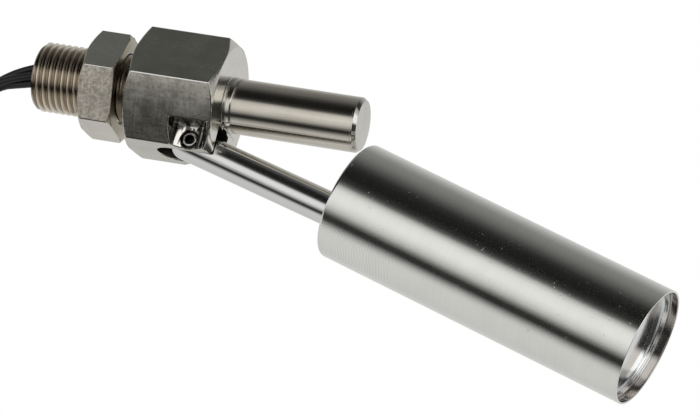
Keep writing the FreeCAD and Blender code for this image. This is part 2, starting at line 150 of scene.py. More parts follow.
class Bench:
    """Makes the nodes of one tree."""

    def __init__(self, tree: bpy.types.NodeTree) -> None:
        """Empties the tree and keeps it."""
        self.tree = tree
        tree.nodes.clear()

    def make(self, kind: str, inputs: dict[Any, Any] | None = None, out: Any = 0,
             **settings: Any) -> Signal:
        """One node, set up and wired.

        Args:
            kind: The node's type.
            inputs: Values or signals by input name or index.
            out: Name of the output to hand back, or its index among the enabled ones.
            settings: The node's properties, set first; "stops" fills a colour ramp.

        Returns:
            The chosen output.
        """
        node = self.tree.nodes.new(kind)
        for key, value in settings.items():
            if key == "stops":
                self._fill_ramp(node.color_ramp, value)
            else:
                setattr(node, key, value)
        for key, value in (inputs or {}).items():
            if isinstance(value, Signal):
                self.tree.links.new(value.socket, node.inputs[key])
            else:
                node.inputs[key].default_value = value
        outputs = node.outputs if isinstance(out, str) else [o for o in node.outputs if o.enabled]
        return Signal(self, outputs[out])

    @staticmethod
    def _fill_ramp(ramp: bpy.types.ColorRamp, stops: Stops) -> None:
        """Writes grey stops into a ramp.

        Args:
            ramp: The ramp.
            stops: Each stop's place and level.
        """
        while len(ramp.elements) > 1:
            ramp.elements.remove(ramp.elements[-1])
        for index, (place, level) in enumerate(stops):
            element = ramp.elements[0] if index == 0 else ramp.elements.new(place)
            element.position = place
            element.color = (level, level, level, 1.0)

    def split(self, kind: str, names: Iterable[Any],
              inputs: dict[Any, Any] | None = None) -> list[Signal]:
        """Several outputs of one node, by name or index."""
        node = self.make(kind, inputs).socket.node
        return [Signal(self, node.outputs[name]) for name in names]

    def parts(self, vector: Signal) -> list[Signal]:
        """The three numbers of a vector."""
        return self.split("ShaderNodeSeparateXYZ", (0, 1, 2), {0: vector})

    def joined(self, x: Any, y: Any, z: Any) -> Signal:
        """A vector from three numbers."""
        return self.make("ShaderNodeCombineXYZ", {0: x, 1: y, 2: z})

    def vector(self, operation: str, first: Any, second: Any) -> Signal:
        """Vector arithmetic."""
        return self.make("ShaderNodeVectorMath", {0: first, 1: second}, operation=operation)

    def mix_colour(self, factor: Any, first: Any, second: Any) -> Signal:
        """Colour between two colours, each a signal or red, green and blue."""
        first, second = (c if isinstance(c, Signal) else (*c, 1.0) for c in (first, second))
        return self.make("ShaderNodeMix", {0: factor, 6: first, 7: second}, data_type="RGBA")

    def here(self) -> Signal:
        """Place on the object, in metres."""
        return self.make("ShaderNodeTexCoord", out="Object")

    def noise(self, place: Signal, kind: Noise, times: float = 1.0) -> Signal:
        """Noise from 0 to 1 at a place, its scale multiplied by a number."""
        scale, detail, rough = kind.value
        return self.make("ShaderNodeTexNoise", {
            "Vector": place, "Scale": scale * times, "Detail": detail, "Roughness": rough})

    def coat(self, base: Any, rough: Any, height: Signal, depth: float, **others: float) -> None:
        """Ends a material's tree with a principled shader.

        Args:
            base: Its colour.
            rough: Its roughness.
            height: Height of its relief.
            depth: Metres for a height of one.
            others: Other inputs, with underscores for spaces.
        """
        bump = self.make("ShaderNodeBump", {"Strength": 1.0, "Distance": depth, "Height": height})
        self.output(self.make("ShaderNodeBsdfPrincipled", {
            "Base Color": base, "Roughness": rough, "Normal": bump,
            **{name.replace("_", " "): value for name, value in others.items()}}))

    def output(self, shader: Signal, kind: str = "ShaderNodeOutputMaterial") -> None:
        """Wires a shader to the tree's output."""
        self.tree.links.new(shader.socket, self.tree.nodes.new(kind).inputs["Surface"])


def new_material(name: str) -> bpy.types.Material:
    """A material that is ready for nodes."""
    material = bpy.data.materials.new(name)
    material.use_nodes = True
    return material


# ---------------------------------------------------------------- finishes
@dataclass(frozen=True)
class Finish:
    """A surface that can be put on a piece."""

    slot: str
    variant: str = ""

    def material(self) -> bpy.types.Material:
        """The material, made once and shared."""
        name = "finish_" + self.slot + self.variant
        found = bpy.data.materials.get(name)
        if found is None:
            found = new_material(name)
            self.paint(Bench(found.node_tree))
        return found

    def paint(self, bench: Bench) -> None:
        """Builds the material's nodes on an empty bench."""
        raise NotImplementedError


@dataclass(frozen=True)
class Steel(Finish):
    """Stainless steel with tool marks.

    The marks follow an axis that starts at `origin` and points along +X turned `dip_deg` down.
    Heights are in millimetres.
    """

    tint: Point = (0.66, 0.655, 0.64)
    shade: Point = (0.56, 0.55, 0.53)
    roughness: float = 0.2
    spread: float = 0.08
    grain: Grain = Grain.FINE
    origin: Point = (0.0, 0.0, 0.0)
    dip_deg: float = 0.0
    marks: float = 0.003
    fineness: float = 1.0
    contrast: float = 0.5
    wear: float = 0.0
    blotch: float = 0.0
    cross: float = 0.0
    wave: float = 0.0
    grit: float = 0.0
    pits: float = 0.0
    crown: float = 0.0
    crown_top: float = 7.8
    chatter: float = 0.0
    chatter_at: Point = (1.0, -5.0, -12.9)
    chatter_pitch: float = 0.76
    root_r: float = 0.0
    crest_r: float = 0.0
    bands: Stops = ()
    band_from: float = 0.0
    band_round: bool = False
    # what all steels share: how far chatter darkens it, how dull a thread's crests are, and the
    # colours of painted shade in a thread's roots and of painted reflection bands
    chatter_tone = 0.8
    crest_rough = 0.18
    root_shade_tint = (0.22, 0.175, 0.13)
    reflection_band_tint = (0.02, 0.018, 0.016)

    def paint(self, bench: Bench) -> None:
        """Builds the material's nodes on an empty bench."""
        moved = bench.vector("SUBTRACT", bench.here(), tuple(c * MM for c in self.origin))
        turn = (0.0, -radians(self.dip_deg), 0.0)
        local = bench.make(
            "ShaderNodeMapping", {"Vector": moved, "Rotation": turn}, vector_type="POINT")
        streak, cloud = self._streak(local), bench.noise(local, Noise.CLOUD)
        tone = (streak - 0.5) * self.contrast + (cloud - 0.5) * self.wear + 0.5
        rough = (streak - 0.5) * self.spread + (cloud - 0.5) * (self.spread * 0.8) + self.roughness
        height = streak * self.marks
        if self.blotch:
            tone = tone + (bench.noise(local, Noise.BLOTCH) - 0.5) * self.blotch
        if self.cross:
            crossing = bench.vector("MULTIPLY", local, (0.08, 1.0, 1.0))
            tone = tone + (bench.noise(crossing, Noise.CROSSING) - 0.5) * self.cross
        if self.chatter:
            ripple = self._chatter_ripple(local)
            tone = tone - ripple * self.chatter_tone
            height = height + ripple * self.chatter
        base = bench.mix_colour(tone.clamped(), self.shade, self.tint)
        # painted shade: a darker, browner colour in the thread's roots between the crests
        if self.crest_r:
            _, y, z = bench.parts(local)
            flank = ((y * y + z * z).maths("SQRT") / MM).share(self.root_r, self.crest_r)
            base = bench.mix_colour(flank, self.root_shade_tint, base)
            rough = rough + flank.share(0.8, 1.0) * self.crest_rough
        # painted reflection: darker bands of colour for what the steel mirrors
        if self.bands:
            base = self._painted_reflection_bands(local, base)
        height, rough = self._relief(local, height, rough)
        bench.coat(base, rough.clamped(0.04, 0.9), height, MM, Metallic=1.0)

    def _streak(self, local: Signal) -> Signal:
        """Tool marks, drawn out the way the grain runs.

        Args:
            local: Place in the finish's own frame.

        Returns:
            A number from 0 to 1.
        """
        bench = local.bench
        if self.grain is Grain.AROUND:
            x, y, z = bench.parts(local)
            local = bench.joined(x + (y * y + z * z).maths("SQRT"), y, z)
        drawn = bench.vector("MULTIPLY", local, self.grain.value)
        lines = bench.noise(drawn, Noise.LINES, self.fineness)
        coarse = bench.noise(drawn, Noise.COARSE, self.fineness)
        return (lines * 0.6 + coarse * 0.4).clamped()

    def _chatter_ripple(self, local: Signal) -> Signal:
        """Ripples left by a chattering tool round one spot, fading with distance from it.

        Args:
            local: Place in the finish's own frame.

        Returns:
            A number from -1 to 1.
        """
        bench = local.bench
        away = bench.vector("DISTANCE", local, tuple(c * MM for c in self.chatter_at)) / MM
        wobble = bench.noise(local, Noise.WOBBLE) * 2.2
        ripple = ((away + wobble) * (tau / self.chatter_pitch)).maths("SINE")
        below = (bench.parts(local)[2] / MM).share(-7.2, -9.2)
        patchy = ((bench.noise(local, Noise.PATCHES) - 0.38) * 3.5).clamped()
        return ripple * away.share(2.0, 5.0) * away.share(24.0, 8.0) * below * patchy

    def _painted_reflection_bands(self, local: Signal, base: Signal) -> Signal:
        """Painted reflection bands along the axis, or round the Y axis: darker rings of colour that
        stand in for what the steel mirrors.

        Args:
            local: Place in the finish's own frame.
            base: The colour between the bands.

        Returns:
            The colour with the bands.
        """
        bench = local.bench
        x, _, z = bench.parts(local)
        along = (x * x + z * z).maths("SQRT") / MM if self.band_round else x / MM
        start, end = self.band_from, self.bands[-1][0]
        ramp = bench.make("ShaderNodeValToRGB", {0: along.share(start, end)}, stops=[
            ((place - start) / (end - start), level) for place, level in self.bands])
        return bench.mix_colour(ramp, self.reflection_band_tint, base)

    def _relief(self, local: Signal, height: Signal, rough: Signal) -> tuple[Signal, Signal]:
        """Adds swells, a crowned face, grit and pits.

        Args:
            local: Place in the finish's own frame.
            height: Height of the tool marks.
            rough: Roughness so far.

        Returns:
            The height and the roughness.
        """
        bench = local.bench
        if self.wave:
            height = height + bench.noise(local, Noise.SWELL) * self.wave
        if self.crown:
            _, y, z = bench.parts(local)
            down = (y.maths("ABSOLUTE") * 0.5 + z * 0.866) / MM - self.crown_top
            height = height - down * down * self.crown
        if self.grit:
            height = height + bench.noise(local, Noise.GRIT) * self.grit
        if self.pits:
            pit = ((bench.noise(local, Noise.PITS) - 0.68) * 12.0).clamped()
            height = height - pit * self.pits
            rough = rough + pit * 0.25
        return height, rough


@dataclass(frozen=True)
class Plastic(Finish):
    """Moulded or extruded plastic with a faint skin texture."""

    tint: Point = (0.02, 0.02, 0.022)
    roughness: float = 0.4
    skin: float = 0.01
    skin_scale: float = 900.0

    def paint(self, bench: Bench) -> None:
        """Builds the material's nodes on an empty bench."""
        here = bench.here()
        cloud = bench.noise(here, Noise.HAZE)
        light = tuple(min(1.0, c * 1.25 + 0.004) for c in self.tint)
        bench.coat(bench.mix_colour(cloud, self.tint, light),
                   ((cloud - 0.5) * 0.12 + self.roughness).clamped(),
                   bench.noise(here, Noise.SKIN, self.skin_scale), self.skin * MM, Metallic=0.0)


@dataclass(frozen=True)
class Glass(Finish):
    """Green-tinted capsule glass."""

    tint: Point = (0.70, 0.86, 0.74)

    def paint(self, bench: Bench) -> None:
        """Builds the material's nodes on an empty bench."""
        ripple = bench.noise(bench.here(), Noise.RIPPLE)
        bench.coat((*self.tint, 1.0), 0.03, ripple, 0.004 * MM, IOR=1.5, Transmission_Weight=0.85)


REST_DIP = 15.4
FLOAT_DIP = 16.9
PIVOT: Point = (15.8, 0.0, -11.1)
FLOAT_AT: Point = (54.29, 0.0, -17.87)

MILLED = Steel("stainless_milled", "", (0.64, 0.625, 0.55), (0.33, 0.315, 0.27), 0.24, spread=0.12,
    grain=Grain.ACROSS, marks=0.004, fineness=0.6, contrast=0.9, wear=2.4, blotch=1.8, cross=1.0,
    grit=0.0015, crown=0.0066, crown_top=2.2)
# painted shade: a darker copy of the milled steel for the faces that look up
MILLED_TOP_SHADED = Steel("stainless_milled", "_top", (0.5, 0.505, 0.435), (0.38, 0.385, 0.33), 0.26,
    spread=0.1, grain=Grain.ALONG, marks=0.0015, fineness=0.6, contrast=0.8, wear=2.6, blotch=0.4,
    grit=0.0006)
# painted light: a lighter copy of the milled steel for the hexagon's lower flat
MILLED_UNDER_LIT = Steel("stainless_milled", "_under", (0.7, 0.68, 0.61), (0.44, 0.425, 0.375), 0.26,
    spread=0.12, grain=Grain.ALONG, marks=0.004, fineness=0.6, contrast=1.0, wear=1.2, blotch=0.9,
    grit=0.0015)
# painted shade: a near-black copy of the milled steel for the lower broken edges, drawing a dark
# line along them
EDGE_PAINTED_SHADE = Steel("stainless_milled", "_painted_shade_edge", (0.09, 0.085, 0.07), (0.05, 0.047, 0.04), 0.3)
# painted highlight: a near-white copy of the milled steel for the upper broken edges, drawing a
# bright line along them
EDGE_PAINTED_HIGHLIGHT = Steel("stainless_milled", "_edge", (0.97, 0.96, 0.92), (0.8, 0.785, 0.74), 0.2,
    wear=1.4)
# painted shade: a dark copy of the nut steel for its lower broken edges
NUT_EDGE_PAINTED_SHADE = Steel("stainless_nut", "_painted_shade_edge", (0.15, 0.14, 0.12), (0.09, 0.083, 0.07), 0.3)
# painted highlight: a near-white copy of the nut steel for its upper broken edges
NUT_EDGE_PAINTED_HIGHLIGHT = Steel("stainless_nut", "_edge", (0.97, 0.95, 0.9), (0.78, 0.76, 0.7), 0.2, wear=1.4)
# turned end faces and boss with their own turned grain; their brighter tint is painted light, for
# the light these faces catch
TURNED_FACE_LIT = Steel("stainless_milled", "_turned", (0.8, 0.785, 0.73), (0.56, 0.54, 0.485), 0.2,
    spread=0.12, grain=Grain.AROUND, contrast=0.7, wear=0.8, grit=0.002)
# painted reflection bands in the pockets: place along the stem in millimetres, and the steel's
# share there
POCKET_REFLECTION_BANDS = (
    (11.4, 0.2), (11.9, 0.22), (12.0, 0.85), (12.3, 0.8), (12.4, 0.22), (12.6, 0.25),
    (12.72, 1.0), (14.15, 1.0), (14.4, 0.1), (15.2, 0.08), (15.4, 0.78), (17.4, 0.72),
    (17.6, 0.1), (18.3, 0.08), (18.4, 0.7), (18.75, 0.7), (18.85, 0.06), (20.4, 0.05))
# pocket roof and walls, carrying the painted reflection bands
POCKET_ROOF = Steel("stainless_milled", "_roof", (0.9, 0.87, 0.8), (0.62, 0.6, 0.54), 0.2,
    grain=Grain.ALONG, contrast=1.4, bands=POCKET_REFLECTION_BANDS, band_from=11.2)
POCKET_CUT = Steel("stainless_milled", "_pocket", (0.84, 0.82, 0.77), (0.6, 0.58, 0.53), 0.12,
    grain=Grain.ALONG, bands=POCKET_REFLECTION_BANDS, band_from=11.2)
# painted shade: a dark, rough copy of the milled steel inside the arm's slot
SLOT_PAINTED_SHADE = Steel("stainless_milled", "_slot", (0.085, 0.08, 0.072), (0.045, 0.042, 0.038), 0.45,
    marks=0.01)
TURNED_STUD = Steel("stainless_milled", "_stud", (0.93, 0.86, 0.74), (0.66, 0.59, 0.48), 0.15,
    spread=0.06, grain=Grain.ALONG, marks=0.002, wear=1.2, grit=0.002, root_r=7.28, crest_r=7.8)
# painted shade: a dark brown copy for the cut between the thread and the hexagon
RELIEF_PAINTED_SHADE = Steel("stainless_milled", "_relief", (0.26, 0.22, 0.17), (0.16, 0.135, 0.1), 0.2,
    grain=Grain.AROUND, marks=0.004, contrast=1.4)
NUT_STEEL = Steel("stainless_nut", "", (0.8, 0.745, 0.645), (0.4, 0.365, 0.305), 0.32, spread=0.14,
    grain=Grain.ACROSS, marks=0.005, fineness=0.6, contrast=2.2, wear=1.2, blotch=3.0, grit=0.002)
# painted shade: a darker copy of the nut steel for the faces that look up
NUT_TOP_SHADED = Steel("stainless_nut", "_top", (0.6, 0.61, 0.54), (0.46, 0.465, 0.41), 0.26, spread=0.1,
    grain=Grain.ALONG, marks=0.002, fineness=0.6, contrast=0.7, wear=1.2, blotch=0.5, grit=0.001)
# painted light: a lighter copy of the nut steel for its lower flat
NUT_UNDER_LIT = Steel("stainless_nut", "_under", (0.74, 0.71, 0.64), (0.55, 0.525, 0.465), 0.28,
    spread=0.12, grain=Grain.ALONG, fineness=0.6, contrast=0.8, wear=1.2, blotch=0.8, grit=0.0015)
NUT_FACE = Steel("stainless_nut", "_turned", (0.58, 0.53, 0.44), (0.38, 0.34, 0.27), 0.26,
    spread=0.12, grain=Grain.AROUND, marks=0.006)
DRAWN = Steel("stainless_drawn", "", (0.7, 0.665, 0.585), (0.52, 0.485, 0.415), 0.12, spread=0.05,
    grain=Grain.ALONG, marks=0.005, contrast=2.0, wear=1.0, wave=0.006, grit=0.002)
STEM_END = Steel("stainless_drawn", "_end", (0.72, 0.705, 0.65), (0.5, 0.485, 0.43), 0.12,
    spread=0.04, grain=Grain.AROUND, marks=0.004, contrast=1.6, wear=1.0, grit=0.0015)
# painted shade on the screw's end face: darker within 1.12 mm of the pivot's axis, at the socket,
# and beyond 1.62 mm round the face; plain steel shows in the ring between
SCREW_STEEL = Steel("stainless_screw", "", (0.95, 0.93, 0.89), (0.55, 0.53, 0.49), 0.12,
    origin=PIVOT, contrast=1.4, wear=2.0,
    bands=((0.9, 0.03), (1.12, 0.05), (1.2, 1.0), (1.5, 1.0), (1.62, 0.12), (2.8, 0.08)),
    band_round=True)
# painted shade: a dark copy of the screw steel for its side, down in the hole
SCREW_SIDE_PAINTED_SHADE = Steel("stainless_screw", "_side", (0.12, 0.115, 0.1), (0.06, 0.058, 0.05), 0.3)
# painted shade: a near-black copy of the screw steel inside its socket
SOCKET_PAINTED_SHADE = Steel("stainless_screw", "_socket", (0.03, 0.028, 0.026), (0.015, 0.015, 0.014), 0.5,
    marks=0.012)
POLISHED = Steel("stainless_polished", "", (0.78, 0.775, 0.76), (0.7, 0.695, 0.68), 0.12,
    spread=0.06, grain=Grain.ALONG, origin=PIVOT, dip_deg=REST_DIP, marks=0.005, contrast=1.8,
    wear=0.8, wave=0.008, grit=0.0015)
ARM_WELD = Steel("stainless_polished", "_weld", (0.62, 0.58, 0.52), (0.45, 0.41, 0.36), 0.3,
    marks=0.006)
FLOAT_STEEL = Steel("stainless_float", "", (0.85, 0.845, 0.8), (0.72, 0.72, 0.685), 0.115,
    spread=0.05, grain=Grain.AROUND, origin=FLOAT_AT, dip_deg=FLOAT_DIP, marks=0.004,
    contrast=0.8, wear=0.8, wave=0.011, grit=0.0025, pits=0.005, chatter=0.0009)
CAP_STEEL = Steel("stainless_cap", "", (0.95, 0.96, 0.95), (0.74, 0.75, 0.74), 0.12, spread=0.04,
    origin=FLOAT_AT, dip_deg=FLOAT_DIP, marks=0.0006, contrast=2.4, grit=0.0003)
# painted shade: a darker copy of the float steel for the inside of the tube, seen past the rear rim
INNER_WALL_PAINTED_SHADE = Steel("stainless_float", "_inner", (0.56, 0.52, 0.49), (0.4, 0.37, 0.34), 0.12,
    spread=0.04, grain=Grain.AROUND, origin=FLOAT_AT, dip_deg=FLOAT_DIP, marks=0.0006)
WELD = Steel("stainless_drawn", "_weld", (0.6, 0.56, 0.5), (0.42, 0.38, 0.33), 0.32, spread=0.15,
    marks=0.01)
MAGNET = Steel("magnet", "", (0.2, 0.2, 0.21), (0.12, 0.12, 0.125), 0.45, marks=0.012)
BLADE = Steel("blade_alloy", "", (0.7, 0.65, 0.54), (0.6, 0.55, 0.45), 0.25, grain=Grain.ALONG,
    marks=0.012)
TINNED = Steel("tinned_copper", "", (0.8, 0.79, 0.77), (0.66, 0.65, 0.62), 0.28, marks=0.008)
CARRIER = Plastic("carrier_plastic", "", (0.80, 0.79, 0.74), 0.5)
SLEEVE = Plastic("shrink_sleeve", "", (0.025, 0.025, 0.025), 0.4)
RESIN = Plastic("resin", "", (0.035, 0.033, 0.032), 0.22, skin=0.03, skin_scale=420.0)
INSULATION = Plastic("lead_insulation", "", (0.007, 0.007, 0.008), 0.46, skin=0.004)
TIE_PLASTIC = Plastic("tie_plastic", "", (0.04, 0.04, 0.042), 0.45)
CAPSULE = Glass("reed_glass")


# ---------------------------------------------------------------- mesh workshop
def finish_piece(piece: Piece, finish: Finish, body: Body, replaced: Sequence[str] = (),
                 areas: Sequence[tuple[Finish, AreaTest]] = ()) -> None:
    """Dresses a piece, rides it on its body and hides the solids it stands for.

    Args:
        piece: The piece, at the origin.
        finish: Its surface.
        body: The body that it moves with.
        replaced: Names of the solids it replaces.
        areas: Other finishes, each with a test of a face's centre in millimetres and its normal.
    """
    piece.data.materials.clear()
    for surface in (finish, *(area[0] for area in areas)):
        piece.data.materials.append(surface.material())
    for polygon in piece.data.polygons if areas else ():
        centre, normal = polygon.center / MM, polygon.normal
        hits = (k for k, (_, test) in enumerate(areas, 1) if test(centre, normal))
        polygon.material_index = next(hits, 0)
    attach(piece, body.value)
    if replaced:
        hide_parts(*replaced)
    LOG.info("%s on %s", piece.name, body.value)


def placed(name: str, data: Any) -> Piece:
    """A new object in the scene."""
    piece = bpy.data.objects.new(name, data)
    bpy.context.scene.collection.objects.link(piece)
    return piece


def new_piece(name: str, mesh: Mesh, smooth_deg: float = 32.0) -> Piece:
    """An object for a mesh, smooth apart from edges sharper than an angle.

    Args:
        name: The piece's name.
        mesh: Its mesh in metres.
        smooth_deg: Edges over this angle stay sharp.

    Returns:
        The object, in the scene.
    """
    mesh.shade_smooth()
    mesh.set_sharp_from_angle(angle=radians(smooth_deg))
    return placed(name, mesh)


def applied(piece: Piece) -> Piece:
    """Turns a piece's modifiers into plain mesh.

    Args:
        piece: The piece.

    Returns:
        The same piece without modifiers.
    """
    graph = bpy.context.evaluated_depsgraph_get()
    mesh = bpy.data.meshes.new_from_object(piece.evaluated_get(graph))
    piece.modifiers.clear()
    piece.data = mesh
    return piece


def flattened(piece: Piece, keep_sharp: bool = True) -> Piece:
    """Shades a piece so that its large faces stay flat beside their rounded edges.

    Args:
        piece: The piece.
        keep_sharp: Whether its sharp edges stay so.

    Returns:
        The same piece with its modifiers applied.
    """
    even = piece.modifiers.new("flat_faces", "WEIGHTED_NORMAL")
    even.weight = 80
    even.keep_sharp = keep_sharp
    return applied(piece)


def bevelled(piece: Piece, width: float, angle_deg: float = 28.0) -> Piece:
    """Breaks a piece's sharp edges.

    Args:
        piece: The piece.
        width: Bevel width in millimetres.
        angle_deg: Edges over this angle are broken.

    Returns:
        The same piece with the bevel applied.
    """
    bevel = piece.modifiers.new("broken_edges", "BEVEL")
    bevel.width = width * MM
    bevel.segments = 2
    bevel.limit_method = "ANGLE"
    bevel.angle_limit = radians(angle_deg)
    bevel.use_clamp_overlap = False
    piece.data.shade_smooth()
    return flattened(piece, False)


def merged_copy(node: str) -> WorkMesh:
    """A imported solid's faces, with their shared points merged and flat areas joined.

    Args:
        node: The solid's name.

    Returns:
        A work mesh.
    """
    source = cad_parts[node].data
    work = bmesh.new()
    points = [work.verts.new(v.co) for v in source.vertices]
    for polygon in source.polygons:
        corners = [points[i] for i in polygon.vertices]
        if len(set(corners)) == len(corners):
            work.faces.new(corners)
    bmesh.ops.remove_doubles(work, verts=work.verts[:], dist=2e-6)
    bmesh.ops.dissolve_degenerate(work, edges=work.edges[:], dist=1e-6)
    bmesh.ops.dissolve_limit(
        work, angle_limit=radians(0.6), verts=work.verts[:], edges=work.edges[:])
    return work


def to_mesh(work: WorkMesh, name: str) -> Mesh:
    """Writes a work mesh out with outward faces and frees it.

    Args:
        work: The work mesh.
        name: Name of the new mesh.

    Returns:
        The mesh.
    """
    bmesh.ops.recalc_face_normals(work, faces=work.faces[:])
    mesh = bpy.data.meshes.new(name)
    work.to_mesh(mesh)
    work.free()
    return mesh


def rounded(profile: Profile, radius: float, steps: int = 4) -> Profile:
    """An outline with its corners rounded.

    Args:
        profile: Points of (x, r); the first and last stay as they are.
        radius: Rounding in millimetres.
        steps: Points on each rounded corner, less one.

    Returns:
        The rounded outline.
    """
    out: Profile = [profile[0]]
    for before, corner, after in zip(profile, profile[1:], profile[2:]):
        a, b, c = Vector(before), Vector(corner), Vector(after)
        cut = min(radius, 0.45 * (a - b).length, 0.45 * (c - b).length)
        start, end = b + (a - b).normalized() * cut, b + (c - b).normalized() * cut
        for k in range(steps + 1):
            t = k / steps
            p = start * (1 - t) ** 2 + b * 2 * t * (1 - t) + end * t * t
            out.append((p.x, p.y))
    out.append(profile[-1])
    return out


def ring(work: WorkMesh, x: float, r: float, count: int, place: Matrix, turn: float = 0.0) -> Ring:
    """Points of a circle about an axis.

    Args:
        work: The work mesh that gets them.
        x: Where the circle sits along the axis, in millimetres.
        r: Its radius in millimetres; at zero the ring is a single point.
        count: How many points it has.
        place: Where the axis sits.
        turn: Angle of the first point, in radians.

    Returns:
        The points.
    """
    angles = [tau * k / count + turn for k in range(count if r > 1e-6 else 1)]
    return [work.verts.new(place @ Vector((x, r * cos(a), r * sin(a))) * MM)
            for a in angles]


def join_rings(work: WorkMesh, first: Ring, second: Ring) -> None:
    """Makes the faces between two rings.

    Args:
        work: The work mesh.
        first: One ring, or a single point.
        second: The other.
    """
    count = max(len(first), len(second))
    for k in range(count):
        j = (k + 1) % count
        corners = dict.fromkeys((first[k % len(first)], second[k % len(second)],
                                 second[j % len(second)], first[j % len(first)]))
        if len(corners) > 2:
            work.faces.new(tuple(corners))


def turned(name: str, profile: Profile, place: Matrix, segments: int = 160) -> Piece:
    """A closed turned piece.

    Args:
        name: The piece's name.
        profile: Outline of (x, r) in millimetres, from axis to axis or closed on itself.
        place: Where the piece's axis sits, in millimetres.
        segments: Faces round the axis.

    Returns:
        The piece.
    """
    work = bmesh.new()
    rings = [ring(work, x, r, segments, place) for x, r in profile]
    ends = [] if len(rings[0]) == 1 else [(rings[-1], rings[0])]
    for first, second in [*zip(rings, rings[1:]), *ends]:
        join_rings(work, first, second)
    return flattened(new_piece(name, to_mesh(work, name)))


def axis_place(origin: Point = (0.0, 0.0, 0.0), dip_deg: float = 0.0) -> Matrix:
    """Placement of an axis that starts at a point and dips below +X."""
    return Matrix.Translation(origin) @ Matrix.Rotation(radians(dip_deg), 4, "Y")


# ---------------------------------------------------------------- geometry trees
class Recipe:
    """A geometry tree with named sizes, run once to give a plain mesh."""

    def __init__(self, name: str, sizes: dict[str, float], finish: Finish) -> None:
        """Starts a tree.

        Args:
            name: The tree's name.
            sizes: Input names with their values.
            finish: Surface of what the tree makes.
        """
        self.tree = bpy.data.node_groups.new(name, "GeometryNodeTree")
        self.sizes = sizes
        self.finish = finish
        sockets = self.tree.interface
        for size, value in sizes.items():
            socket = sockets.new_socket(size, in_out="INPUT", socket_type="NodeSocketFloat")
            socket.default_value = value
        sockets.new_socket("Geometry", in_out="OUTPUT", socket_type="NodeSocketGeometry")
        self.bench = Bench(self.tree)
        self.entry = self.tree.nodes.new("NodeGroupInput")

    def size(self, name: str) -> Signal:
        """The signal of a named size."""
        return Signal(self.bench, self.entry.outputs[name])

    def run(self, geometry: Signal, name: str) -> Piece:
        """Ends the tree, runs it and hands back a plain piece.

        Args:
            geometry: The shape before it is realized.
            name: Name of the new piece.

        Returns:
            The piece, without modifiers.
        """
        bench = self.bench
        real = bench.make("GeometryNodeRealizeInstances", {0: geometry})
        dressed = bench.make("GeometryNodeSetMaterial", {
            "Geometry": real, "Material": self.finish.material()})
        exit_node = self.tree.nodes.new("NodeGroupOutput")
        self.tree.links.new(dressed.socket, exit_node.inputs[0])
        piece = placed(name, bpy.data.meshes.new(name + "_seed"))
        modifier = piece.modifiers.new(name, "NODES")
        modifier.node_group = self.tree
        for item in self.tree.interface.items_tree:
            if item.in_out == "INPUT":
                modifier[item.identifier] = float(self.sizes[item.name])
        return applied(piece)


def tidy_shell(piece: Piece, smooth_deg: float = 38.0) -> Piece:
    """Merges a shell's seam, turns its faces outwards and shades it.

    Args:
        piece: The shell.
        smooth_deg: Edges over this angle stay sharp.

    Returns:
        The same piece.
    """
    work = bmesh.new()
    work.from_mesh(piece.data)
    bmesh.ops.remove_doubles(work, verts=work.verts[:], dist=1e-7)
    bmesh.ops.dissolve_degenerate(work, edges=work.edges[:], dist=1e-7)
    bmesh.ops.recalc_face_normals(work, faces=work.faces[:])
    work.to_mesh(piece.data)
    work.free()
    piece.data.shade_smooth()
    piece.data.set_sharp_from_angle(angle=radians(smooth_deg))
    return piece


def close_with(piece: Piece, profile: Profile, segments: int) -> Piece:
    """Closes an open turned skin with the rest of its outline.

    Args:
        piece: A skin that ends in two round edges about the X axis.
        profile: Outline of (x, r) in millimetres from the far edge back to the near edge.
        segments: Faces round the axis, as in the skin.

    Returns:
        The closed piece.
    """
    work = bmesh.new()
    work.from_mesh(piece.data)
    rings = [ring(work, x, r, segments, axis_place()) for x, r in profile]
    for first, second in zip(rings, rings[1:]):
        join_rings(work, first, second)
    work.to_mesh(piece.data)
    work.free()
    return tidy_shell(piece)


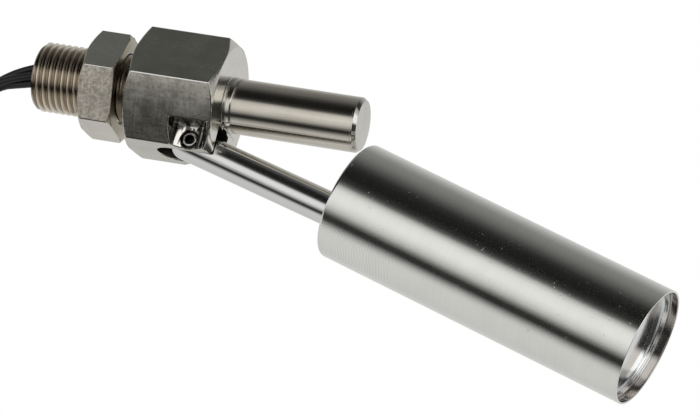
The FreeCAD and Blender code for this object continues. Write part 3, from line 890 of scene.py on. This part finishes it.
# ---------------------------------------------------------------- sub-assemblies
@dataclass
class ThreadedStud:
    """The stud with its screw thread, relief and bore mouth."""

    major_r: float = 8.0
    root_r: float = 7.3
    pitch: float = 1.5
    length: float = 24.4
    relief: float = 2.3
    relief_r: float = 7.0
    bore_r: float = 4.2
    flare: float = 0.5
    lead_in: float = 1.0
    run_out: float = 0.8
    crest_share: float = 0.0625
    flank: float = 1.732
    dark_from: float = 1.4
    dark_to: float = 0.2
    dark_r: float = 6.0
    neck_dip: float = 0.25
    neck_ends: tuple[float, float] = (0.35, 0.3)
    face_gap: float = 0.05
    segments: int = 96
    rows_per_pitch: int = 16

    def build(self) -> None:
        """Makes and dresses the stud."""
        start, end = -self.length, -self.relief
        rows = int((end - start) / self.pitch * self.rows_per_pitch) + self.rows_per_pitch + 2
        recipe = Recipe("cut_thread", {
            "Major Radius": self.major_r, "Root Radius": self.root_r, "Pitch": self.pitch,
            "Relief Radius": self.relief_r, "Start": start, "End": end}, TURNED_STUD)
        bench, size = recipe.bench, recipe.size
        grid = bench.make("GeometryNodeMeshGrid", {
            "Size X": 1.0, "Size Y": 1.0, "Vertices X": rows, "Vertices Y": self.segments + 1})
        across, round_share, _ = bench.parts(bench.make("GeometryNodeInputPosition"))
        round_share = round_share + 0.5
        row = (across + 0.5) * float(rows - 1) / float(self.rows_per_pitch)
        pitch, low, high = size("Pitch"), size("Start"), size("End")
        x = ((row - 1.0 + round_share) * pitch + low).maths("MAXIMUM", low).maths("MINIMUM", high)
        phase = ((x - low) / pitch - round_share + 8.0).maths("FRACT")
        off_crest = (phase - 0.5).maths("ABSOLUTE") * pitch
        depth = ((off_crest - pitch * self.crest_share) * self.flank).maths("MAXIMUM", 0.0)
        cut = size("Major Radius") - depth
        radius = cut.maths("MAXIMUM", size("Root Radius"))
        lead_in = size("Relief Radius") + (x - low) * self.lead_in
        run_out = size("Relief Radius") + (high - x) * self.run_out
        radius = radius.maths("MINIMUM", lead_in).maths("MINIMUM", run_out)
        angle = round_share * tau
        spot = bench.joined(
            x * MM, radius * angle.maths("COSINE") * MM, radius * angle.maths("SINE") * MM)
        skin = bench.make("GeometryNodeSetPosition", {"Geometry": grid, "Position": spot})
        stud = recipe.run(skin, "threaded_stud")
        tidy_shell(stud)
        neck, face = self.relief_r - self.neck_dip, -self.face_gap
        close_with(stud, [
            (end, self.relief_r), (end + self.neck_ends[0], neck), (-self.neck_ends[1], neck),
            (face, self.relief_r), (face, self.bore_r), (start + self.flare, self.bore_r),
            (start, self.bore_r + self.flare), (start, self.relief_r)], self.segments)
        # painted shade in the relief cut
        finish_piece(stud, TURNED_STUD, Body.SWITCH, ("hex_body",), ((RELIEF_PAINTED_SHADE, self.in_relief),))

    def in_relief(self, centre: Vector, normal: Vector) -> bool:
        """Whether a face is in the cut between the thread and the hexagon, which is painted dark as
        shade.
        """
        return (-self.relief - self.dark_from < centre.x < -self.dark_to
                and hypot(centre.y, centre.z) > self.dark_r)


def along_flats(vector: Vector, turn_deg: float = 0.0) -> float:
    """The largest share of a vector that points straight out of a hexagon's flat."""
    angles = [radians(60 * k + 30 + turn_deg) for k in range(6)]
    return max(vector.y * cos(a) + vector.z * sin(a) for a in angles)


def off_flats(normal: Vector, turn_deg: float = 0.0) -> bool:
    """Whether a face lies between a hexagon's flats, on a broken edge."""
    level, flat = 0.08, 0.985
    return abs(normal.x) < level and along_flats(normal, turn_deg) < flat


@dataclass
class HexagonBody:
    """The hexagon with its slot, pockets and boss."""

    cut_x: float = -0.05
    edge: float = 0.3
    half_flats: float = 13.5
    skin: float = 0.2
    boss_x: float = 21.45
    pocket_y: float = 5.5
    pocket_half: float = 4.7
    pocket_z: float = -7.6
    slot_y: float = 4.6
    slot_z: float = -5.9
    slot_ends: tuple[float, float] = (7.0, 21.3)

    def build(self) -> None:
        """Makes and dresses the hexagon."""
        work = merged_copy("hex_body")
        geometry = work.verts[:] + work.edges[:] + work.faces[:]
        bmesh.ops.bisect_plane(work, geom=geometry, dist=1e-8, plane_co=(self.cut_x * MM, 0, 0),
                               plane_no=(-1, 0, 0), clear_outer=True)
        bmesh.ops.bridge_loops(work, edges=[e for e in work.edges if e.is_boundary])
        hexagon = bevelled(new_piece("hexagon", to_mesh(work, "hexagon")), self.edge)
        # the milled steel goes on in copies by which way each face looks, as painted light and
        # painted shade
        finish_piece(hexagon, MILLED, Body.SWITCH, ("hex_body",), (
            # boss and end faces: turned steel whose brighter tint is painted light
            (TURNED_FACE_LIT, lambda c, n: c.x > self.boss_x),
            (POCKET_ROOF, lambda c, n: n.z < -0.8 and self.in_pocket(c, n)),
            # painted reflection bands in the pockets, painted shade in the slot
            (POCKET_CUT, self.in_pocket), (SLOT_PAINTED_SHADE, self.in_slot),
            (TURNED_FACE_LIT, lambda c, n: abs(n.x) > 0.8),
            # painted highlight on the upper broken edges
            (EDGE_PAINTED_HIGHLIGHT, lambda c, n: off_flats(n) and n.z > -0.5),
            # painted shade on the lower broken edges
            (EDGE_PAINTED_SHADE, lambda c, n: off_flats(n)), (MILLED_UNDER_LIT, lambda c, n: n.z < -0.9),
            (MILLED_TOP_SHADED, lambda c, n: n.z > 0.0)))

    def depth(self, centre: Vector) -> float:
        """How far a point lies inside the hexagon's flats."""
        return self.half_flats - along_flats(centre)

    def in_pocket(self, centre: Vector, normal: Vector) -> bool:
        """Whether a face is in one of the two milled pockets."""
        return (abs(centre.y) > self.pocket_y and abs(centre.x - PIVOT[0]) < self.pocket_half
                and centre.z < self.pocket_z and self.depth(centre) > self.skin)

    def in_slot(self, centre: Vector, normal: Vector) -> bool:
        """Whether a face is in the arm's slot."""
        return (abs(centre.y) < self.slot_y and centre.z < self.slot_z
                and self.slot_ends[0] < centre.x < self.slot_ends[1]
                and self.depth(centre) > self.skin)


@dataclass
class BackNut:
    """The lock nut, chamfered well on its outer end and lightly on the end towards the hexagon."""

    across_flats: float = 22.0
    turn_deg: float = -3.7
    bore_r: float = 8.05
    countersink: float = 0.5
    outer_face_r: float = 10.85
    inner_face_r: float = 11.7
    edge: float = 0.2
    mouth_r: float = 8.6
    chamfer_deg: float = 30.0
    spare: float = 0.5
    overrun: float = 1.0

    def build(self) -> None:
        """Makes and dresses the nut."""
        low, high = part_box("lock_nut")
        x0, x1 = low[0] / MM, high[0] / MM
        corner_r = self.across_flats / sqrt(3)
        top, fall = corner_r + self.spare, tan(radians(self.chamfer_deg))
        b, c = self.bore_r, self.countersink
        nut = turned("hexagon_nut", [
            (x0, b + c), (x0, self.outer_face_r), (x0 + (top - self.outer_face_r) * fall, top),
            (x1 - (top - self.inner_face_r) * fall, top), (x1, self.inner_face_r), (x1, b + c),
            (x1 - c, b), (x0 + c, b)], axis_place(), 144)
        bar = self.bar(corner_r, x0 - self.overrun, x1 + self.overrun)
        trim = nut.modifiers.new("six_flats", "BOOLEAN")
        trim.operation, trim.solver, trim.object = "INTERSECT", "EXACT", bar
        applied(nut)
        bpy.data.objects.remove(bar)
        bevelled(nut, self.edge)
        # the nut steel goes on in copies by which way each face looks, as painted light and painted
        # shade
        finish_piece(nut, NUT_STEEL, Body.NUT, ("lock_nut",), (
            (NUT_FACE, lambda c, n: abs(n.x) > 0.8 or hypot(c.y, c.z) < self.mouth_r),
            # painted highlight on the nut's upper broken edges
            (NUT_EDGE_PAINTED_HIGHLIGHT, lambda c, n: off_flats(n, self.turn_deg) and n.z > -0.5),
            # painted shade on the nut's lower broken edges
            (NUT_EDGE_PAINTED_SHADE, lambda c, n: off_flats(n, self.turn_deg)),
            (NUT_UNDER_LIT, lambda c, n: n.z < -0.9),
            (NUT_TOP_SHADED, lambda c, n: n.z > 0.2 and abs(n.x) < 0.3)))

    def bar(self, corner_r: float, start: float, end: float) -> Piece:
        """The hexagon bar that the nut is cut from.

        Args:
            corner_r: Radius to its corners, in millimetres.
            start: Where it starts along the axis.
            end: Where it ends.

        Returns:
            The bar.
        """
        work = bmesh.new()
        turn = radians(self.turn_deg)
        near, far = (ring(work, x, corner_r, 6, axis_place(), turn) for x in (start, end))
        join_rings(work, near, far)
        work.faces.new(near)
        work.faces.new(far)
        return new_piece("nut_bar", to_mesh(work, "nut_bar"))


@dataclass
class Stem:
    """The closed stem, with the collar that it is welded to."""

    radius: float = 6.35
    wall: float = 0.9
    start: float = 23.3
    end: float = 53.1
    disc: float = 1.25
    chamfer_in: float = 0.62
    chamfer_len: float = 0.85
    plug: float = 2.0
    gap: float = 0.05
    seam_edge: float = 0.03
    # the collar's outline, from the stem's start and radius
    collar: Stops = ((-1.7, -0.3), (-1.7, 0.12), (-0.55, 0.12), (0.05, -0.08), (0.05, -0.3))

    def build(self) -> None:
        """Makes and dresses the stem."""
        place = axis_place()
        r, bore = self.radius, self.radius - self.wall
        seam = self.end - self.disc
        start, edge = self.start, self.seam_edge
        tube = turned("stem_tube_skin", [
            (start, bore), (start, r - 0.05), (start + 0.05, r), (seam - edge, r), (seam, r - edge),
            (seam, bore)], place)
        finish_piece(tube, DRAWN, Body.SWITCH, ("stem_tube",))
        inside = seam - self.plug, bore - self.gap
        cap = turned("stem_end_skin", rounded([
            (inside[0], 0.0), inside, (seam, inside[1]), (seam, r - edge),
            (self.end - self.chamfer_len, r), (self.end, r - self.chamfer_in), (self.end, 0.0)],
            0.06), place)
        finish_piece(cap, STEM_END, Body.SWITCH, ("stem_end_disc",))
        outline = [(start + x, r + rise) for x, rise in self.collar]
        finish_piece(turned("boss_collar", outline, place), STEM_END, Body.SWITCH)
        WeldRing("boss_tack", start + 0.6, r - 0.2, bead_r=0.34, count=4, turn_deg=228.0,
                 share=0.05).build()
        WeldRing("end_tack", seam + 0.3, r - 0.3, bead_r=0.55, count=3, turn_deg=254.0,
                 share=0.03).build()


@dataclass
class WeldRing:
    """A ring of overlapping weld ripples about the stem's axis."""

    name: str
    x: float
    ring_r: float
    bead_r: float
    count: int
    flat: float = 0.55
    turn_deg: float = 0.0
    share: float = 1.0
    stretch: tuple[float, float] = (1.25, 1.15)

    def build(self) -> None:
        """Makes and dresses the ring."""
        recipe = Recipe(self.name + "_ripples", {
            "Place": self.x * MM, "Ring Radius": self.ring_r * MM, "Bead Radius": self.bead_r * MM,
            "Ripples": float(self.count), "Flatness": self.flat,
            "Start": radians(self.turn_deg), "Sweep": tau * self.share}, WELD)
        bench, size = recipe.bench, recipe.size
        count = size("Ripples")
        index = bench.make("GeometryNodeInputIndex") * 1.0
        angle = index / count * size("Sweep") + size("Start")
        radius = size("Ring Radius")
        spot = bench.joined(
            size("Place"), radius * angle.maths("COSINE"), radius * angle.maths("SINE"))
        line = bench.make("GeometryNodePoints", {"Count": count, "Position": spot})
        ball = bench.make("GeometryNodeMeshIcoSphere", {
            "Radius": size("Bead Radius"), "Subdivisions": 3})
        beads = bench.make("GeometryNodeInstanceOnPoints", {
            "Points": line, "Instance": ball, "Rotation": bench.joined(angle, 0.0, 0.0),
            "Scale": bench.joined(self.stretch[0], size("Flatness"), self.stretch[1])})
        beads = recipe.run(beads, self.name)
        beads.data.shade_smooth()
        finish_piece(beads, WELD, Body.SWITCH)


@dataclass
class PivotScrew:
    """The headless pivot screw."""

    edge: float = 0.07
    socket_r: float = 1.1
    socket_ends: tuple[float, float] = (-5.8, -2.0)

    def build(self) -> None:
        """Makes and dresses the screw."""
        screw = new_piece("pivot_pin", to_mesh(merged_copy("pivot_screw"), "pivot_pin"))
        bevelled(screw, self.edge, 20.0)
        finish_piece(screw, SCREW_STEEL, Body.SWITCH, ("pivot_screw",), (
            # painted shade in the socket and on the screw's side
            (SOCKET_PAINTED_SHADE, self.in_socket), (SCREW_SIDE_PAINTED_SHADE, lambda c, n: abs(n.y) < 0.3)))

    def in_socket(self, centre: Vector, normal: Vector) -> bool:
        """Whether a face is inside the screw's socket."""
        away = hypot(centre.x - PIVOT[0], centre.z - PIVOT[2])
        return away < self.socket_r and self.socket_ends[0] < centre.y < self.socket_ends[1]


@dataclass
class FloatLever:
    """The arm and the float that it carries."""

    arm_r: float = 3.9
    reach: float = 38.9
    rise: float = 3.7
    tilt_deg: float = 1.5
    radius: float = 13.8
    length: float = 77.0
    wall: float = 0.5
    edge_r: float = 0.8
    nose: float = 0.5
    cap_t: float = 0.8
    recess: float = 3.2
    flange: float = 1.3
    rear_t: float = 0.7
    fit: float = 0.05
    seam: float = 1.2
    lap: float = 3.0
    rim_return: float = 0.4
    rim_edge: float = 0.25
    arm_edge: float = 0.08
    skin: float = 0.06
    # the weld's outline, from where the arm meets the float and the arm's radius
    weld: Stops = ((-0.9, -0.15), (-0.8, 0.02), (-0.25, 0.2), (0.1, 0.5), (0.3, -0.15))

    def arm_place(self) -> Matrix:
        """Placement of the arm's axis, pivot first."""
        return axis_place(PIVOT, REST_DIP)

    def float_place(self) -> Matrix:
        """Placement of the float's axis, front face first."""
        offset = Matrix.Translation((self.reach, 0.0, self.rise))
        return self.arm_place() @ offset @ Matrix.Rotation(radians(self.tilt_deg), 4, "Y")

    def build(self) -> None:
        """Makes and dresses the lever."""
        self.arm()
        self.shell()
        self.front_cap()
        self.rear_cap()

    def arm(self) -> None:
        """The arm with its weld at the float."""
        arm = new_piece("lever_arm", to_mesh(merged_copy("float_arm"), "lever_arm"))
        bevelled(arm, self.arm_edge)
        finish_piece(arm, POLISHED, Body.LEVER, ("float_arm",))
        end = self.reach - self.nose
        fillet = rounded([(end + x, self.arm_r + rise) for x, rise in self.weld], 0.2)
        finish_piece(turned("arm_weld", fillet, self.arm_place(), 96), ARM_WELD, Body.LEVER)

    def shell(self) -> None:
        """The float's thin tube."""
        x0, r, w = self.seam + self.cap_t, self.radius, self.wall
        x1, steps = self.length - self.rim_edge, 24
        outline = [(x0, r - w), (x0, r)]
        outline += [(x0 + (x1 - x0) * k / steps, r) for k in range(1, steps)]
        outline += rounded([(x1, r), (self.length, r), (self.length, r - w),
                            (self.length - self.rim_return, r - w)], 0.2)
        tube = turned("float_tube", outline, self.float_place(), 224)
        back = self.float_place().inverted()
        finish_piece(tube, FLOAT_STEEL, Body.LEVER, ("float_shell",), ((
            # painted shade on the inside of the tube
            INNER_WALL_PAINTED_SHADE, lambda c, n: hypot(*(back @ c).yz) < r - w + self.skin),))

    def front_cap(self) -> None:
        """The float's drawn nose."""
        r, w, t, e = self.radius, self.wall, self.cap_t, self.edge_r
        x, seam, steps = -self.nose, self.seam + t, 10
        inner = r - w - self.fit
        outer: Profile = [(x, 0.0), (x, r - e)]
        outer += [(x + e - e * cos(a), r - e + e * sin(a))
                  for a in (radians(90 * k / steps) for k in range(1, steps))]
        outer += [(x + e, r), (seam, r), (seam, inner), (seam + self.lap, inner),
                  (seam + self.lap, r - 2 * w - self.fit), (t, r - 2 * w - self.fit), (t, 0.0)]
        cap = turned("float_nose", outer, self.float_place(), 224)
        finish_piece(cap, FLOAT_STEEL, Body.LEVER, ("float_front_cap",))

    def rear_cap(self) -> None:
        """The flat cap set inside the rear rim."""
        r = self.radius - self.wall - self.fit
        x, t = self.length - self.recess, self.rear_t
        bend = rounded([(x, 0.0), (x, r - t), (x + self.flange, r - t)], 0.8, 8)[:-1]
        rim = x + self.flange
        outline = bend + rounded(
            [bend[-1], (rim, r - t), (rim, r), (x - t, r), (x - t, 0.0)], 0.15)[1:]
        cap = turned("float_rear", outline, self.float_place(), 192)
        finish_piece(cap, CAP_STEEL, Body.LEVER, ("float_rear_cap",))


@dataclass
class FlyingLead:
    """One insulated lead, from the resin to its tinned end in the coil."""

    name: str
    route: list[Point]
    diameter: float = 1.8
    coil_x: float = -53.35
    coil_z: float = -30.0
    coil_r: float = 12.85
    pitch: float = 1.83
    turns: float = 3.95
    per_turn: int = 16
    nominal: float = 300.0
    # the end's points inside the coil, from the coil's centre
    tail: Stops = ((5.0, -0.6), (4.2, -2.4), (3.3, -3.3))
    strand_r: float = 0.17
    strand_ring: float = 0.33
    strands: int = 7
    bare: float = 2.2
    overlap: float = 0.3

    def points(self) -> list[Point]:
        """The route's points with those of the coil's turns, in millimetres."""
        lane = self.route[-1][1]
        out = list(self.route)
        for k in range(1, int(self.turns * self.per_turn) + 1):
            turn = k / self.per_turn
            angle, r = tau * turn, self.coil_r - self.pitch * turn
            out.append((self.coil_x + r * cos(angle), lane, self.coil_z - r * sin(angle)))
        return out + [(self.coil_x + x, lane, self.coil_z + z) for x, z in self.tail]

    def build(self) -> None:
        points = self.points()
        curve = bpy.data.curves.new("flex_" + self.name, "CURVE")
        curve.dimensions = "3D"
        spline = curve.splines.new("NURBS")
        spline.points.add(len(points) - 1)
        for control, place in zip(spline.points, points):
            control.co = (*(c * MM for c in place), 1.0)
        spline.order_u = 3
        spline.use_endpoint_u = True
        spline.resolution_u = 6
        curve.bevel_depth = self.diameter / 2 * MM
        curve.bevel_resolution = 5
        curve.use_fill_caps = True
        piece = placed("flex_" + self.name, curve)
        tip = self.tip(Vector(points[-2]), Vector(points[-1]))
        [c * MM for c in self.route[0]]
        finish_piece(piece, INSULATION, Body.SWITCH, ("lead_" + self.name, "lead_coil"))

    def tip(self, before: Vector, end: Vector) -> Piece:
        """The tinned strands at the lead's end.

        Args:
            before: The last point but one of the lead.
            end: The lead's last point.

        Returns:
            The strands as one piece.
        """
        recipe = Recipe("strands_" + self.name, {
            "Strand Radius": self.strand_r * MM, "Ring Radius": self.strand_ring * MM,
            "Strands": float(self.strands), "Length": self.bare * MM}, TINNED)
        bench, size, outer = recipe.bench, recipe.size, self.strands - 1
        index = bench.make("GeometryNodeInputIndex") * 1.0
        angle = index * (tau / outer)
        radius = size("Ring Radius") * index.maths("LESS_THAN", outer - 0.5)
        spot = bench.joined(radius * angle.maths("COSINE"), radius * angle.maths("SINE"),
                            size("Length") * 0.5)
        dots = bench.make("GeometryNodePoints", {"Count": size("Strands"), "Position": spot})
        strand = bench.make("GeometryNodeMeshCylinder", {
            "Vertices": 12, "Radius": size("Strand Radius"), "Depth": size("Length")})
        bundle = bench.make("GeometryNodeInstanceOnPoints", {"Points": dots, "Instance": strand})
        tip = recipe.run(bundle, "tinned_" + self.name)
        along = (end - before).normalized()
        turn = along.to_track_quat("Z", "Y").to_matrix().to_4x4()
        tip.data.transform(Matrix.Translation((end - along * self.overlap) * MM) @ turn)
        tip.data.shade_smooth()
        tip.data.set_sharp_from_angle(angle=radians(40.0))
        finish_piece(tip, TINNED, Body.SWITCH, ("lead_end_" + self.name,))
        return tip


@dataclass
class Leads:
    """The three leads and the tie round their coil."""

    routes: dict[str, list[Point]] = field(default_factory=lambda: {
        "common": [(-21.5, 0.3, 2.3), (-25.2, 0.4, 2.25), (-29.0, 0.7, 0.92),
            (-32.6, 1.0, -0.95), (-36.6, 1.35, -4.1), (-39.6, 1.8, -10.0), (-40.5, 1.9, -19.0),
            (-40.5, 1.9, -26.5)],
        "no": [(-21.5, -0.35, 0.0), (-25.2, -0.6, -0.05), (-29.0, -1.2, -1.46),
            (-33.0, -1.75, -3.2), (-37.2, -1.9, -6.6), (-39.8, -1.9, -12.0), (-40.5, -1.9, -19.6),
            (-40.5, -1.9, -26.5)],
        "nc": [(-21.5, 0.3, -1.9), (-25.2, 0.45, -1.72), (-29.1, 0.3, -2.7), (-33.3, 0.0, -3.75),
            (-37.2, 0.0, -7.3), (-39.7, 0.0, -12.9), (-40.5, 0.0, -20.0), (-40.5, 0.0, -26.5)]})

    def build(self) -> None:
        """Makes and dresses the leads and the tie."""
        for name, route in self.routes.items():
            FlyingLead(name, route).build()
        tie = new_piece("coil_strap", to_mesh(merged_copy("coil_tie"), "coil_strap"))
        bevelled(tie, 0.3)
        finish_piece(tie, TIE_PLASTIC, Body.SWITCH, ("coil_tie",))


class InnerParts:
    """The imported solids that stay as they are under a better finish."""

    FINISHES: dict[str, Finish] = {
        "magnet_holder": CAP_STEEL, "float_magnet": MAGNET, "reed_carrier": CARRIER,
        "reed_glass": CAPSULE, "reed_blade_common": BLADE, "reed_blade_no": BLADE,
        "reed_blade_nc": BLADE, "return_wire": TINNED, "solder_sleeve_no": SLEEVE,
        "solder_sleeve_nc": SLEEVE, "potting_plug": RESIN}

    def build(self) -> None:
        """Dresses the solids."""
        for node, finish in self.FINISHES.items():
            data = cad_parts[node].data
            data.materials.clear()
            data.materials.append(finish.material())
            LOG.info("%s keeps its solid", node)


# ---------------------------------------------------------------- studio
@dataclass
class Studio:
    """Floor, surrounding cards, lamps, world and camera."""

    target: Point = (54.52, 0.0, -19.6)
    distance: float = 1102.14
    azimuth_deg: float = 15.883
    elevation_deg: float = -14.650
    roll_deg: float = 13.15
    lens: float = 252.47
    floor_z: float = -420.0
    card_r: float = 800.0
    card_ends: tuple[float, float, float] = (-4000.0, 140.0, 3000.0)
    card_dip_deg: float = 5.0
    turn_deg: float = 6.4
    # name, place, side in millimetres and power in watts
    lamps: tuple[tuple[str, Point, float, float], ...] = (
        ("key_box", (-260.0, -900.0, 700.0), 700.0, 5.0),
        ("fill_box", (700.0, -600.0, 200.0), 600.0, 2.5))
    # degrees above a line that dips turn_deg towards the camera, and the card's brightness there
    cards: Stops = (
        (-180.0, 0.72), (-140.0, 0.65), (-110.0, 0.7), (-86.0, 0.72), (-76.0, 0.7), (-68.0, 0.52),
        (-60.0, 0.22), (-54.0, 0.03), (-44.0, 0.03), (-37.0, 0.22), (-29.0, 0.56), (-20.0, 0.8),
        (-10.0, 0.94), (0.0, 0.94), (8.0, 0.86), (15.0, 0.58), (21.0, 0.13), (27.0, 0.035),
        (38.0, 0.014), (52.0, 0.018), (62.0, 0.032), (72.0, 0.08), (86.0, 0.17), (99.0, 0.23),
        (110.0, 0.26), (123.0, 0.38), (140.0, 0.56), (160.0, 0.7), (180.0, 0.74))
    side_cards: Stops = (
        (-180.0, 0.72), (-130.0, 0.66), (-104.0, 0.5), (-86.0, 0.28), (-72.0, 0.05),
        (-3.0, 0.035), (3.0, 0.7), (9.0, 1.3), (48.0, 1.3), (55.0, 0.7), (70.0, 0.6),
        (78.0, 0.08), (90.0, 0.03), (104.0, 0.1), (120.0, 0.38), (140.0, 0.6), (160.0, 0.7),
        (180.0, 0.74))

    def build(self) -> None:
        """Makes the studio."""
        bpy.context.scene.view_settings.view_transform = "Standard"
        self.world()
        self.floor()
        low, middle, high = self.card_ends
        self.surround("studio_cards", low, middle, self.cards)
        self.surround("side_cards", middle, high, self.side_cards)
        for lamp in self.lamps:
            self.lamp(*lamp)
        self.camera()

    def world(self) -> None:
        """A white world for what is seen directly or mirrored, and an even light for the rest."""
        world = bpy.data.worlds.new("studio_world")
        bpy.context.scene.world = world
        world.use_nodes = True
        bench = Bench(world.node_tree)
        seen = bench.split("ShaderNodeLightPath", (
            "Is Camera Ray", "Is Glossy Ray", "Is Transmission Ray"))
        level = (seen[0] + seen[1] + seen[2]).clamped() * 0.25 + 0.75
        sky = bench.make("ShaderNodeBackground", {"Color": (1.0, 1.0, 1.0, 1.0), "Strength": level})
        bench.output(sky, "ShaderNodeOutputWorld")

    def floor(self) -> None:
        """A plain pale floor well below the object."""
        mesh = bpy.data.meshes.new("floor")
        half, z = 3.0, self.floor_z * MM
        corners = [(-half, -half, z), (half, -half, z), (half, half, z), (-half, half, z)]
        mesh.from_pydata(corners, [], [(0, 1, 2, 3)])
        floor = placed("floor", mesh)
        material = new_material("pale_floor")
        bench = Bench(material.node_tree)
        cloud = bench.noise(bench.here(), Noise.FLOOR)
        base = bench.mix_colour(cloud, (0.86, 0.86, 0.86), (0.89, 0.89, 0.885))
        bench.output(bench.make("ShaderNodeBsdfPrincipled", {"Base Color": base, "Roughness": 0.8}))
        mesh.materials.append(material)
        self.hide(floor, "glossy")

    @staticmethod
    def hide(item: Piece, *rays: str) -> None:
        """Hides an object from some kinds of ray."""
        for kind in rays:
            setattr(item, "visible_" + kind, False)

    def surround(self, name: str, low: float, high: float, stops: Stops) -> None:
        """Softbox and flag cards in a ring along the stem's axis, seen only in reflections.

        Args:
            name: The ring's name.
            low: Where it starts along the axis, in millimetres.
            high: Where it ends.
            stops: Angles in degrees and the brightness there.
        """
        steps = 180
        mesh = bpy.data.meshes.new(name)
        points = []
        turn = Matrix.Rotation(radians(self.card_dip_deg), 3, "Y")
        for k in range(steps + 1):
            lift = radians(-180.0 + 360.0 * k / steps - self.turn_deg)
            y, z = -cos(lift) * self.card_r, sin(lift) * self.card_r
            points += [(turn @ Vector((x, y, z)) + Vector(self.target)) * MM for x in (low, high)]
        mesh.from_pydata(points, [], [(k, k + 1, k + 3, k + 2) for k in range(0, 2 * steps, 2)])
        layer = mesh.uv_layers.new(name="round")
        for k, polygon in enumerate(mesh.polygons):
            for loop, share in zip(polygon.loop_indices, (k, k, k + 1, k + 1)):
                layer.data[loop].uv = (share / steps, 0.5)
        cards = placed(name, mesh)
        material = new_material(name + "_faces")
        bench = Bench(material.node_tree)
        share = bench.parts(bench.make("ShaderNodeUVMap", uv_map="round"))[0]
        ramp = bench.make("ShaderNodeValToRGB", {0: share}, stops=[
            ((angle + 180.0) / 360.0, level) for angle, level in stops])
        bench.output(bench.make("ShaderNodeEmission", {"Color": ramp, "Strength": 1.0}))
        material.cycles.emission_sampling = "NONE"
        mesh.materials.append(material)
        self.hide(cards, "camera", "diffuse", "shadow", "transmission")

    def lamp(self, name: str, place: Point, size: float, watts: float) -> None:
        """A square softbox aimed at the object.

        Args:
            name: The lamp's name.
            place: Where it stands, in millimetres.
            size: Its side in millimetres.
            watts: Its power.
        """
        data = bpy.data.lights.new(name, "AREA")
        data.size = size * MM
        data.energy = watts
        lamp = placed(name, data)
        lamp.location = Vector(place) * MM
        aim = Vector(self.target) - Vector(place)
        lamp.rotation_euler = aim.to_track_quat("-Z", "Y").to_euler()
        self.hide(lamp, "camera", "glossy")

    def camera(self) -> None:
        """The camera at its fitted place."""
        a, e = radians(self.azimuth_deg), radians(self.elevation_deg)
        back = Vector((sin(a) * cos(e), -cos(a) * cos(e), sin(e)))
        right = (-back).cross(Vector((0, 0, 1))).normalized()
        up = right.cross(-back)
        c, s = cos(radians(self.roll_deg)), sin(radians(self.roll_deg))
        right, up = right * c + up * s, up * c - right * s
        data = bpy.data.cameras.new("camera")
        data.lens = self.lens
        data.sensor_width = 36.0
        data.clip_start = 0.01
        camera = placed("camera", data)
        turn = Matrix((right, up, back)).transposed().to_4x4()
        spot = Vector(self.target) * MM + back * self.distance * MM
        camera.matrix_world = Matrix.Translation(spot) @ turn
        bpy.context.scene.camera = camera


def main() -> None:
    """Builds and dresses the whole switch."""
    logging.basicConfig(level=logging.INFO, format="%(name)s: %(message)s")
    Studio().build()
    for part in (Leads(), HexagonBody(), ThreadedStud(), BackNut(), Stem(), PivotScrew(),
                 FloatLever(), InnerParts()):
        part.build()
        LOG.info("built %s", type(part).__name__)


if __name__ == "__main__":
    main()
